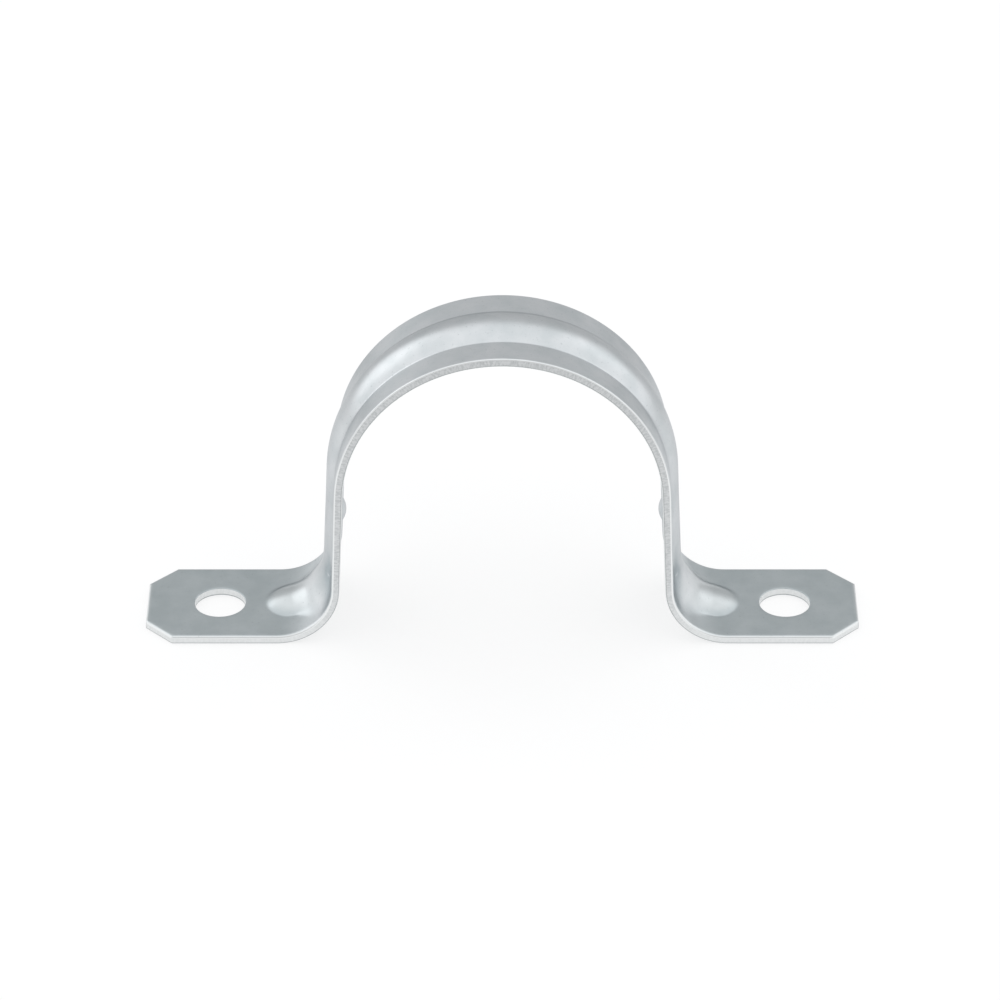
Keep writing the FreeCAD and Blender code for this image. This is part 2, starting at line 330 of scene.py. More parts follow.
@dataclass(frozen=True)
class PressedBead:
    """The rib pressed up along the middle, which runs over the crown and ends on each foot.

    It gains height across the bend, strays from the middle line towards its nose, and its crease
    opens out on the way down the leg and closes again round the nose.
    """

    path: StripPath
    half_width: float = 4.4
    height: float = 1.335
    bend_gain: float = 0.45
    gain_reach: float = 8.0
    gain_lead: float = 1.2
    nose_radius: float = 4.4
    nose_tip_reach: float = 36.7
    nose_offset: float = 0.45
    crease_radius: float = 1.3
    bend_crease_radius: float = 20.0
    crease_opens_from: float = 22.0
    crease_opens_past_leg: float = 1.0
    nose_crease_radius: float = 2.6

    @property
    def section_radius(self) -> float:
        """Radius of the rib's rounded section, the same from end to end."""
        return (self.half_width**2 + self.height**2) / (2 * self.height)

    @property
    def nose_centre(self) -> float:
        """Length along at the centre of the rib's round nose."""
        return self.path.along_at_reach(self.nose_tip_reach) - self.nose_radius

    def past_leg(self, along: Array) -> Array:
        """Smooth share, from 0 to 1, of the way from the end of the leg to the nose's centre."""
        return smooth_step(np.abs(along), self.path.leg_end, self.nose_centre)

    def offset_at(self, along: Array) -> Array:
        """How far the rib's middle wanders from the strip's middle on its way to the nose."""
        return self.nose_offset * self.past_leg(along)

    def height_at(self, along: Array) -> Array:
        """Height of the rib, which stands tallest where it cuts across the bend.

        Args:
            along: signed lengths from the crown.

        Returns:
            The rib's height at each place.
        """
        middle = 0.5 * (self.path.leg_end + self.path.bend_end) - self.gain_lead
        away = np.minimum(np.abs(along), self.nose_centre) - middle
        gain = 0.5 * (1 + np.cos(np.pi * np.clip(away / self.gain_reach, -1, 1)))
        past = self.past_leg(along)
        nose_height = self.section_radius - math.sqrt(self.section_radius**2 - self.nose_radius**2)
        at_nose = 0.5 * (1 + math.cos(math.pi * (self.nose_centre - middle) / self.gain_reach))
        settle = nose_height - self.height - self.bend_gain * at_nose
        return self.height + self.bend_gain * gain + settle * past

    def width_at(self, along: Array) -> Array:
        """Half width of the rib, which spreads as it stands taller."""
        height = self.height_at(along)
        return np.sqrt(height * (2 * self.section_radius - height))

    def crease_at(self, along: Array) -> Array:
        """Radius of the crease beside the rib, which the bend opens out.

        Args:
            along: signed lengths from the crown.

        Returns:
            The crease's radius at each place.
        """
        length, centre = np.abs(along), self.nose_centre
        middle = 0.5 * (self.path.leg_end + centre)
        open_by = self.path.leg_end + self.crease_opens_past_leg
        opens = smooth_step(length, self.crease_opens_from, open_by)
        closes = smooth_step(length, middle, centre)
        opened = self.crease_radius + (self.bend_crease_radius - self.crease_radius) * opens
        return opened + (self.nose_crease_radius - opened) * closes

    def out_from_middle(self, along: Array, across: Array) -> Array:
        """Distances from the rib's middle line, or beyond it from the centre of the nose."""
        past_nose = np.maximum(np.abs(along) - self.nose_centre, 0)
        return np.hypot(across - self.offset_at(along), past_nose)

    def rise(self, along: Array, across: Array, skin: Skin) -> Array:
        """How far the rib lifts a skin off the flat strip.

        Args:
            along: signed lengths from the crown.
            across: distances from the middle line.
            skin: which face of the sheet.

        Returns:
            The lift at each place.
        """
        radius = self.section_radius - (self.path.sheet if skin is Skin.INNER else 0.0)
        out = self.out_from_middle(along, across)
        raw, slope = dome_section(out, radius, self.height_at(along))
        half_turn = 0.5 * np.arctan(slope)
        blend = 0.5 * self.crease_at(along) * np.tan(half_turn) * slope
        return soft_floor(raw, blend)


def dome_section(out: Array, radius: float, height: Array | float) -> tuple[Array, Array | float]:
    """Height of a round dome above the flat, carried on below it at the slope of its edge.

    Args:
        out: distances from the dome's middle.
        radius: radius of the dome's section.
        height: height of the dome.

    Returns:
        The height at each place, and the slope of the edge.
    """
    flat = radius - height
    edge = np.sqrt(radius**2 - flat**2)
    slope = edge / flat
    inside = np.sqrt(np.maximum(radius**2 - np.minimum(out, edge) ** 2, 0)) - flat
    return np.where(out < edge, inside, -slope * (out - edge)), slope


def smooth_step(value: Array, start: float, end: float) -> Array:
    """Share of the way from start to end, easing in and out.

    Args:
        value: the values.
        start: where the share is nought.
        end: where the share is one.

    Returns:
        The share for each value.
    """
    part = np.clip((value - start) / (end - start), 0, 1)
    return part**2 * (3 - 2 * part)


def soft_floor(raw: Array, blend: Array | float) -> Array:
    """Lifts negative values to nought, with a smooth blend where they cross it.

    Args:
        raw: the values.
        blend: how far either side of nought the blend reaches.

    Returns:
        The values, with none below nought.
    """
    near = (raw + blend) ** 2 / (4 * blend)
    return np.where(raw > blend, raw, np.where(raw < -blend, 0.0, near))


@dataclass(frozen=True)
class SnapDimples:
    """Four small dents beside the bead near the top of the legs, which grip the conduit."""

    path: StripPath
    radius: float = 1.9
    depth: float = 0.65
    down_leg: float = 3.5
    off_middle: float = 6.975
    blend: float = 0.05

    def sink(self, along: Array, across: Array, skin: Skin) -> Array:
        """How far the dimples push a skin towards the conduit.

        Args:
            along: signed lengths from the crown.
            across: distances from the middle line.
            skin: which face of the sheet.

        Returns:
            The push at each place.
        """
        bump = (self.radius**2 + self.depth**2) / (2 * self.depth)
        radius = bump - (self.path.sheet if skin is Skin.OUTER else 0.0)
        down = np.abs(along) - self.path.arch_end - self.down_leg
        out = np.hypot(down, np.abs(across) - self.off_middle)
        raw, _ = dome_section(out, radius, self.depth)
        return soft_floor(raw, self.blend)


@dataclass(frozen=True)
class BlankOutline:
    """The flat blank's edge: two straight sides, two ends with cut corners, and two holes."""

    path: StripPath
    half_width: float = 9.55
    corner_cut: float = 4.2
    hole_radius: float = 3.95
    hole_reach: float = 43.886
    roll: float = 0.36
    arch_roll: float = 0.24
    hole_roll: float = 0.12
    burr: float = 0.1

    @property
    def hole_centre(self) -> float:
        """Length along at the centre of the right foot's hole."""
        return self.path.along_at_reach(self.hole_reach)

    @staticmethod
    def roll_rows(radius: float, steps: int = 6) -> Array:
        """Distances in from a sheared edge at which its rolled rim turns by equal angles."""
        return radius * (1 - np.cos(np.linspace(0, math.pi / 2, steps + 1)))

    def roll_at(self, along: Array) -> Array:
        """Radius of the rolled outer rim, which is fuller beyond the legs than on the arch."""
        on_foot = smooth_step(np.abs(along), self.path.arch_end, self.path.leg_end)
        return self.arch_roll + (self.roll - self.arch_roll) * on_foot

    def insets(self, along: Array, across: Array) -> tuple[Array, Array]:
        """Distances from each place to the blank's outer edge and to the nearer hole.

        Args:
            along: signed lengths from the crown.
            across: distances from the middle line.

        Returns:
            The distances to the outer edge and to the hole's edge, nought on them.
        """
        length, width = np.abs(along), np.abs(across)
        to_end, to_side = self.path.foot_end - length, self.half_width - width
        to_corner = (to_end + to_side - self.corner_cut) / math.sqrt(2)
        to_hole = np.hypot(length - self.hole_centre, width) - self.hole_radius
        to_outside = np.minimum.reduce([to_end, to_side, to_corner])
        return np.maximum(to_outside, 0), np.maximum(to_hole, 0)

    def fall(self, along: Array, across: Array, skin: Skin) -> Array:
        """How far a skin falls away at its rolled outer rims or its burred inner rims.

        Args:
            along: signed lengths from the crown.
            across: distances from the middle line.
            skin: which face of the sheet.

        Returns:
            The fall at each place.
        """
        outer = skin is Skin.OUTER
        radii = (self.roll_at(along), self.hole_roll) if outer else (self.burr, self.burr)
        total = np.zeros_like(along)
        for radius, inset in zip(radii, self.insets(along, across)):
            step = np.maximum(radius - inset, 0)
            total += radius - np.sqrt(np.maximum(radius**2 - step**2, 0))
        return total


@dataclass
class FlatNet:
    """A flat mesh of the blank, as places (along, across) and the faces between them."""

    places: Array
    faces: list[tuple[int, ...]]

    def joined(self, other: "FlatNet", grain: float = 1e-4) -> "FlatNet":
        """Joins two nets along the places that they share.

        Args:
            other: the net to add.
            grain: places nearer than this are one.

        Returns:
            One net with both nets' faces.
        """
        places = np.vstack([self.places, other.places])
        shift = len(self.places)
        faces = self.faces + [tuple(i + shift for i in f) for f in other.faces]
        keys = np.round(places / grain).astype(np.int64)
        _, first, to_one = np.unique(keys, axis=0, return_index=True, return_inverse=True)
        to_one = to_one.reshape(-1)
        return FlatNet(places[first], [tuple(int(to_one[i]) for i in f) for f in faces])

    def mirrored(self) -> "FlatNet":
        """The same net on the strap's other side."""
        return FlatNet(self.places * [-1, 1], [f[::-1] for f in self.faces])

    def rim_edges(self) -> list[tuple[int, int]]:
        """Finds the edges that only one face has.

        Returns:
            Pairs of place numbers, each in its face's direction.
        """
        seen: dict[tuple[int, int], int] = {}
        for face in self.faces:
            for a, b in zip(face, face[1:] + face[:1]):
                seen[(a, b)] = seen.get((a, b), 0) + 1
        return [edge for edge in seen if edge[::-1] not in seen]


@dataclass
class StrapSheet:
    """The pressed strip: its flat net, bent and embossed into one closed skin.

    The steps are the spacings of the net, in millimetres. The gaps are shares of a step that the
    filling keeps clear of the rows along the crease and the rim. The rims are brightened within a
    share of their roll, and the noses above a share of the bead's height: partly real wear, and
    partly a painted highlight.
    """

    path: StripPath
    bead: PressedBead
    dimples: SnapDimples
    outline: BlankOutline
    crease_reach: float = 0.5
    crease_step: float = 0.1
    crease_fineness: float = 0.7
    bead_step: float = 0.38
    band_step: float = 0.2
    arch_step: float = 0.6
    dimple_step: float = 0.16
    dimple_margin: float = 0.4
    leg_step: float = 0.7
    nose_step: float = 0.36
    foot_step: float = 0.42
    crease_gap: float = 0.5
    rim_gap: float = 0.6
    edge_step: float = 0.4
    hole_points: int = 96
    wall_rows: int = 4
    # Reach and shares of the brightening at rims and noses: partly wear, partly painted highlight.
    rim_wear_and_highlight_reach: float = 0.7
    nose_wear_and_highlight: float = 0.35
    nose_wear_and_highlight_level: float = 0.6

    @property
    def foot_start(self) -> float:
        """Length along at which the grid over the arch hands over to the foot's net."""
        return self.path.leg_end

    @property
    def crease_offsets(self) -> Array:
        """Distances out from the crease at which rows follow it."""
        return np.arange(-self.crease_reach, self.crease_reach + ROUNDING, self.crease_step)

    def cross_rows(self) -> Array:
        """Spaces the grid's rows to suit the bead, the bands and the rims.

        Returns:
            Distances across, from one side to the other.
        """
        crease = self.crease_offsets + self.bead.half_width
        crown = np.linspace(0, crease[0], round(crease[0] / self.bead_step) + 1)[:-1]
        rim = self.outline.half_width - self.outline.roll_rows(self.outline.roll)[::-1]
        band = np.linspace(crease[-1], rim[0], round((rim[0] - crease[-1]) / self.band_step) + 1)[1:-1]
        half = np.concatenate([crown, crease, band, rim])
        return np.concatenate([-half[:0:-1], half])

    def stations(self) -> Array:
        """Spaces the grid's columns over the arch and legs, closer together at the dimples.

        Returns:
            Lengths along, from the end of one leg to the end of the other.
        """
        dimple = self.path.arch_end + self.dimples.down_leg
        reach = self.dimples.radius + self.dimple_margin
        marks = [0, dimple - reach, dimple + reach, self.foot_start]
        steps = [self.arch_step, self.dimple_step, self.leg_step]
        runs = [
            np.linspace(a, b, round((b - a) / step) + 1)[:-1]
            for a, b, step in zip(marks, marks[1:], steps)
        ]
        half = np.concatenate([*runs, [self.foot_start]])
        return np.concatenate([-half[:0:-1], half])

    def arch_net(self) -> FlatNet:
        """Makes the regular grid over the arch and both legs.

        Returns:
            The grid's net.
        """
        along, across = self.stations(), self.cross_rows()
        grid = np.stack(np.meshgrid(along, across, indexing="ij"), axis=-1).reshape(-1, 2)
        wide = len(across)
        faces = [
            (i * wide + j, (i + 1) * wide + j, (i + 1) * wide + j + 1, i * wide + j + 1)
            for i in range(len(along) - 1)
            for j in range(wide - 1)
        ]
        return FlatNet(grid, faces)

    def edge_row(self, inset: float) -> Array:
        """A row of places that follows the foot's edge, some way in from it.

        Args:
            inset: the distance in from the edge.

        Returns:
            Places from the top of one side, round the end, to the top of the other.
        """
        cut, half, end = self.outline.corner_cut, self.outline.half_width, self.path.foot_end
        slip = inset * (math.sqrt(2) - 1)
        near = [
            [self.foot_start, half - inset],
            [end - cut - slip, half - inset],
            [end - inset, half - cut - slip],
        ]
        corners = np.vstack([near, np.array(near)[::-1] * [1, -1]])
        lengths = [end - cut - self.foot_start, cut * math.sqrt(2), 2 * (half - cut)]
        counts = [max(2, round(n / self.edge_step)) for n in [*lengths, *lengths[1::-1]]]
        rows = [
            a + np.outer(np.arange(n) / n, b - a)
            for a, b, n in zip(corners, corners[1:], counts)
        ]
        return np.vstack([*rows, corners[-1:]])

    def crease_row(self, offset: float) -> Array:
        """A row of places that follows the bead's crease down the bend and round its nose.

        Args:
            offset: the distance out from the crease.

        Returns:
            Places from one side of the bead, round the nose, to the other.
        """
        centre = self.bead.nose_centre
        spacing = self.crease_fineness * self.nose_step
        steps = round((centre - self.foot_start) / spacing)
        along = np.linspace(self.foot_start, centre, steps + 1)
        middle = self.bead.offset_at(along)
        half = self.bead.width_at(along) + offset
        near, far = np.stack([along, middle + half], axis=1), np.stack([along, middle - half], axis=1)
        radius = self.bead.nose_radius + offset
        turns = round(math.pi * self.bead.nose_radius / spacing)
        angle = np.linspace(math.pi / 2, -math.pi / 2, turns + 1)[1:-1]
        arc = np.stack([centre + radius * np.cos(angle), middle[-1] + radius * np.sin(angle)], axis=1)
        return np.vstack([near, arc, far[::-1]])

    def hole_row(self, inset: float) -> Array:
        """A ring of places round the fixing hole, some way in from its edge.

        Args:
            inset: the distance in from the hole's edge.

        Returns:
            The ring's places, in turn.
        """
        angle = np.linspace(0, 2 * math.pi, self.hole_points, endpoint=False)
        radius = self.outline.hole_radius + inset
        centre = self.outline.hole_centre
        return np.stack([centre + radius * np.cos(angle), radius * np.sin(angle)], axis=1)

    def filling(self) -> Array:
        """Fills the foot between its edge, bead and hole, more finely on the bead.

        Returns:
            Places in staggered rows.
        """
        rows = []
        for step, on_bead in ((self.nose_step, True), (self.foot_step, False)):
            along = np.arange(self.foot_start + step, self.path.foot_end, step * ROW_RATIO)
            across = np.arange(-self.outline.half_width, self.outline.half_width, step)
            grid = np.stack(np.meshgrid(along, across, indexing="ij"), axis=-1)
            grid[1::2, :, 1] += step / 2
            flat = grid.reshape(-1, 2)
            out = self.bead.out_from_middle(flat[:, 0], flat[:, 1])
            crease = out - self.bead.width_at(flat[:, 0])
            clear = self.crease_reach + self.crease_gap * step
            inset = np.minimum(*self.outline.insets(flat[:, 0], flat[:, 1]))
            off_rim = inset > self.outline.roll + self.rim_gap * step
            wanted = crease < -clear if on_bead else (crease > clear) & off_rim
            rows.append(flat[wanted])
        return np.vstack(rows)

    def foot_net(self) -> FlatNet:
        """Makes the net over the right bend and foot.

        Its rows follow the crease, the edge and the hole, and it meets the arch's grid place for
        place.

        Returns:
            The foot's net.
        """
        edges = [self.edge_row(d) for d in self.outline.roll_rows(self.outline.roll)]
        rings = [self.hole_row(d) for d in self.outline.roll_rows(self.outline.hole_roll)]
        creases = [self.crease_row(d) for d in self.crease_offsets]
        top = self.cross_rows()
        start = np.stack([np.full_like(top, self.foot_start), top], axis=1)
        filling = self.filling()
        places = np.vstack([edges[0], rings[0], *edges[1:], *rings[1:], *creases, start, filling])
        around, ring = len(edges[0]), len(rings[0])
        bounds = [(i, i + 1) for i in range(around - 1)]
        bounds += [(around + i, around + (i + 1) % ring) for i in range(ring)]
        first_start = len(places) - len(filling) - len(start)
        chain = [around - 1, *range(first_start + 1, first_start + len(start) - 1), 0]
        bounds += list(zip(chain, chain[1:]))
        _, _, faces, sources, _, _ = delaunay_2d_cdt(
            [Vector(p) for p in places], bounds, [], CdtOutput.INSIDE_OUTLINE, CDT_GRAIN
        )
        kept = np.array([places[s[0]] for s in sources])
        hole = np.array([self.outline.hole_centre, 0])
        open_radius = self.outline.hole_radius * INSIDE_HOLE
        solid = [
            tuple(f)
            for f in faces
            if np.linalg.norm(kept[list(f)].mean(axis=0) - hole) > open_radius
        ]
        return FlatNet(kept, solid)

    def skin_points(self, places: Array, skin: Skin) -> Array:
        """Lifts flat places on to one face of the pressed strip.

        Args:
            places: rows of (along, across).
            skin: which face of the sheet.

        Returns:
            Rows of (x, y, z) in metres.
        """
        along, across = places[:, 0], places[:, 1]
        point, normal = self.path.place(along)
        lift = self.bead.rise(along, across, skin)
        lift -= self.dimples.sink(along, across, skin)
        fall = self.outline.fall(along, across, skin)
        depth = lift - fall if skin is Skin.OUTER else lift - self.path.sheet + fall
        bent = point + normal * depth[:, None]
        return np.stack([bent[:, 0], across, bent[:, 1]], axis=1) * MM

    def build(self) -> bpy.types.Object:
        """Makes the strap's mesh: both skins and the sheared wall between them.

        Returns:
            The new object, with its finish slots still empty.
        """
        foot = self.foot_net()
        net = self.arch_net().joined(foot).joined(foot.mirrored())
        outer = self.skin_points(net.places, Skin.OUTER)
        inner = self.skin_points(net.places, Skin.INNER)
        rim = net.rim_edges()
        rim_places = sorted({i for edge in rim for i in edge})
        number = {place: i for i, place in enumerate(rim_places)}
        count, on_rim = len(outer), len(rim_places)
        walls = [
            outer[rim_places] + (inner[rim_places] - outer[rim_places]) * row / self.wall_rows
            for row in range(1, self.wall_rows)
        ]
        points = np.vstack([outer, inner, *walls])
        between = np.arange(len(walls) * on_rim).reshape(len(walls), on_rim) + 2 * count
        ladder = np.vstack([rim_places, between, np.array(rim_places) + count])
        wall_faces = [
            (int(top[number[b]]), int(top[number[a]]), int(low[number[a]]), int(low[number[b]]))
            for top, low in zip(ladder, ladder[1:])
            for a, b in rim
        ]
        faces = net.faces + [tuple(i + count for i in f[::-1]) for f in net.faces]
        mesh = bpy.data.meshes.new("pressed_strap")
        mesh.from_pydata(points.tolist(), [], faces + wall_faces)
        finishes = np.repeat([Finish.FACE, Finish.SHEARED], [len(faces), len(wall_faces)])
        mesh.polygons.foreach_set("material_index", finishes.astype(np.int32))
        mesh.polygons.foreach_set("use_smooth", np.ones(len(finishes), dtype=bool))
        self.note_facts(mesh, net.places, rim_places)
        mesh.validate()
        mesh.update()
        piece = bpy.data.objects.new("pressed_strap", mesh)
        bpy.context.scene.collection.objects.link(piece)
        return piece

    def note_facts(self, mesh: bpy.types.Mesh, places: Array, rim_places: list[int]) -> None:
        """Stores where each vertex lies on the flat strip, for the finishes to follow, and how far the
        rims and noses are brightened by wear and painted highlight.

        Args:
            mesh: the strap's mesh.
            places: rows of (along, across) for one skin.
            rim_places: numbers of the places on a sheared edge.
        """
        depths = np.linspace(0, self.path.sheet, self.wall_rows + 1)
        layers = [(places, depths[0]), (places, depths[-1])]
        layers += [(places[rim_places], depth) for depth in depths[1:-1]]
        facts = np.vstack([np.column_stack([p, np.full(len(p), d)]) for p, d in layers]) * MM
        strip = mesh.attributes.new(STRIP_FACTS, "FLOAT_VECTOR", "POINT")
        strip.data.foreach_set("vector", facts.ravel())
        along, across = np.vstack([p for p, _ in layers]).T
        to_outside, _ = self.outline.insets(along, across)
        roll = self.outline.roll_at(along)
        # Painted highlight along the rolled rims, laid over real burnishing of the rolled edge.
        rim_wear_and_highlight = np.exp(-((to_outside / (self.rim_wear_and_highlight_reach * roll)) ** 2))
        # Painted highlight on the bead's noses, partly real rubbing of their tops.
        rise = self.bead.rise(along, across, Skin.OUTER)
        rubbed_and_highlight = self.nose_wear_and_highlight * smooth_step(rise, 0.0, self.nose_wear_and_highlight_level * self.bead.height)
        rubbed_and_highlight *= self.bead.past_leg(along)
        wear_and_highlight = mesh.attributes.new(WEAR_AND_HIGHLIGHT_FACTS, "FLOAT", "POINT")
        wear_and_highlight.data.foreach_set("value", np.maximum(rim_wear_and_highlight, rubbed_and_highlight))


@dataclass(frozen=True)
class ZincPlate:
    """Electroplated zinc with a clear passivate, on rolled sheet: a soft, slightly cool satin.

    The plating follows the rolled sheet under it, so the grain runs along the strip, and it
    dries in faint clouds. To the eye that is a blurred mirror of pale grey. Painted shade makes it
    darker on the feet, and wear with painted highlight makes it paler at the rims and noses.
    Sizes and depths are in millimetres, and a band is the part of a pattern's range that shows.
    """

    colour: str = "#DADDDF"
    cloud_colour: str = "#CDD2D4"
    # Darker colours for the feet: painted shade.
    foot_painted_light_colour: str = "#C2C9CB"
    foot_cloud_shade_colour: str = "#B6BEC0"
    # Paler plating at the rims and noses: some wear, and a painted highlight.
    worn_and_highlight_colour: str = "#EFF1F1"
    grazing_tint: str = "#E0E1E2"
    # Lengths along over which the feet's painted shade comes in.
    foot_shade_span: Span = (60.0, 69.0)
    roughness: float = 0.3
    roughness_swing: float = 0.05
    cloud_size: float = 5.0
    cloud_detail: float = 3.0
    cloud_roughness: float = 0.55
    cloud_band: Span = (0.35, 0.65)
    grain_width: float = 0.22
    grain_length: float = 6.0
    fine_detail: float = 2.0
    pit_size: float = 0.45
    pit_band: Span = (0.63, 0.74)
    pit_shade: float = 0.32
    pit_colour: str = "#9BA1A3"
    relief_strength: float = 0.12
    relief_depth: float = 0.02

    def build(self) -> bpy.types.Material:
        """Makes the material for the sheet's two faces.

        Returns:
            The new material.
        """
        material = empty_material("electroplated_zinc")
        tree = material.node_tree
        facts = add_node(tree, "Attribute", {".attribute_name": STRIP_FACTS})
        strip = facts.outputs["Vector"]
        clouds = add_node(
            tree,
            "TexNoise",
            {
                "Scale": 1 / (self.cloud_size * MM),
                "Detail": self.cloud_detail,
                "Roughness": self.cloud_roughness,
            },
            {"Vector": strip},
        )
        pits = add_node(
            tree,
            "TexNoise",
            {"Scale": 1 / (self.pit_size * MM), "Detail": self.fine_detail},
            {"Vector": strip},
        )
        gloss = add_node(
            tree,
            "MapRange",
            {
                "To Min": self.roughness - self.roughness_swing,
                "To Max": self.roughness + self.roughness_swing,
            },
            {"Value": clouds.outputs["Fac"]},
        )
        plated = self.plated(tree, strip, clouds.outputs["Fac"])
        shader = add_node(
            tree,
            "BsdfPrincipled",
            {"Metallic": 1.0, "Specular Tint": linear_rgba(self.grazing_tint)},
            {
                "Base Color": self.wear_highlight_and_pits(tree, plated, pits.outputs["Fac"]),
                "Roughness": gloss.outputs["Result"],
                "Normal": self.relief(tree, strip, pits.outputs["Fac"]),
            },
        )
        add_node(tree, "OutputMaterial", {}, {"Surface": shader.outputs["BSDF"]})
        return material

    def plated(self, tree: Tree, strip: Socket, clouds: Socket) -> Socket:
        """Mixes the plating's colour, which is cloudy all over and darker on the feet by painted
        shade.

        Args:
            tree: the material's nodes.
            strip: where each point lies on the flat strip.
            clouds: the cloud pattern.

        Returns:
            The colour.
        """
        shown = add_node(
            tree,
            "MapRange",
            {"From Min": self.cloud_band[0], "From Max": self.cloud_band[1]},
            {"Value": clouds},
        )
        pairs = ((self.colour, self.cloud_colour), (self.foot_painted_light_colour, self.foot_cloud_shade_colour))
        arch, foot = (
            add_node(
                tree,
                "Mix",
                {
                    ".data_type": "RGBA",
                    MixInput.COLOUR_A: linear_rgba(clear),
                    MixInput.COLOUR_B: linear_rgba(cloudy),
                },
                {MixInput.SHARE: shown.outputs["Result"]},
            )
            for clear, cloudy in pairs
        )
        # Painted shade: the plating darkens across the bends and onto the feet.
        start, end = self.foot_shade_span
        on_foot = eased_level(tree, strip, "X", (start * MM, end * MM), (0.0, 1.0))
        tint = add_node(
            tree,
            "Mix",
            {".data_type": "RGBA"},
            {
                MixInput.SHARE: on_foot,
                MixInput.COLOUR_A: arch.outputs[MixOutput.COLOUR],
                MixInput.COLOUR_B: foot.outputs[MixOutput.COLOUR],
            },
        )
        return tint.outputs[MixOutput.COLOUR]

    def wear_highlight_and_pits(self, tree: Tree, plated: Socket, pits: Socket) -> Socket:
        """Brightens the plating at its rims and noses, partly real wear and partly painted highlight,
        and darkens it in its pits.

        Args:
            tree: the material's nodes.
            plated: the plating's own colour.
            pits: the pit pattern.

        Returns:
            The colour.
        """
        wear_and_highlight = add_node(tree, "Attribute", {".attribute_name": WEAR_AND_HIGHLIGHT_FACTS})
        in_pit = add_node(
            tree,
            "MapRange",
            {"From Min": self.pit_band[0], "From Max": self.pit_band[1], "To Max": self.pit_shade},
            {"Value": pits},
        )
        # Paler at the rims and noses: some wear, and a painted highlight.
        worn_and_highlit = (wear_and_highlight.outputs["Fac"], self.worn_and_highlight_colour)
        pitted = (in_pit.outputs["Result"], self.pit_colour)
        return lay_over(tree, plated, (worn_and_highlit, pitted))

    def relief(self, tree: Tree, strip: Socket, pits: Socket) -> Socket:
        """Turns the rolled grain and the pits into a fine bump.

        Args:
            tree: the material's nodes.
            strip: where each point lies on the flat strip.
            pits: the pit pattern.

        Returns:
            The bumped normal.
        """
        fine, long = 1 / (self.grain_width * MM), 1 / (self.grain_length * MM)
        drawn = add_node(tree, "Mapping", {"Scale": (long, fine, fine)}, {"Vector": strip})
        grain = add_node(
            tree,
            "TexNoise",
            {"Scale": 1.0, "Detail": self.fine_detail},
            {"Vector": drawn.outputs["Vector"]},
        )
        both = add_node(
            tree, "Math", {".operation": "ADD"}, {0: grain.outputs["Fac"], 1: pits}
        )
        bump = add_node(
            tree,
            "Bump",
            {"Strength": self.relief_strength, "Distance": self.relief_depth * MM},
            {"Height": both.outputs["Value"]},
        )
        return bump.outputs["Normal"]


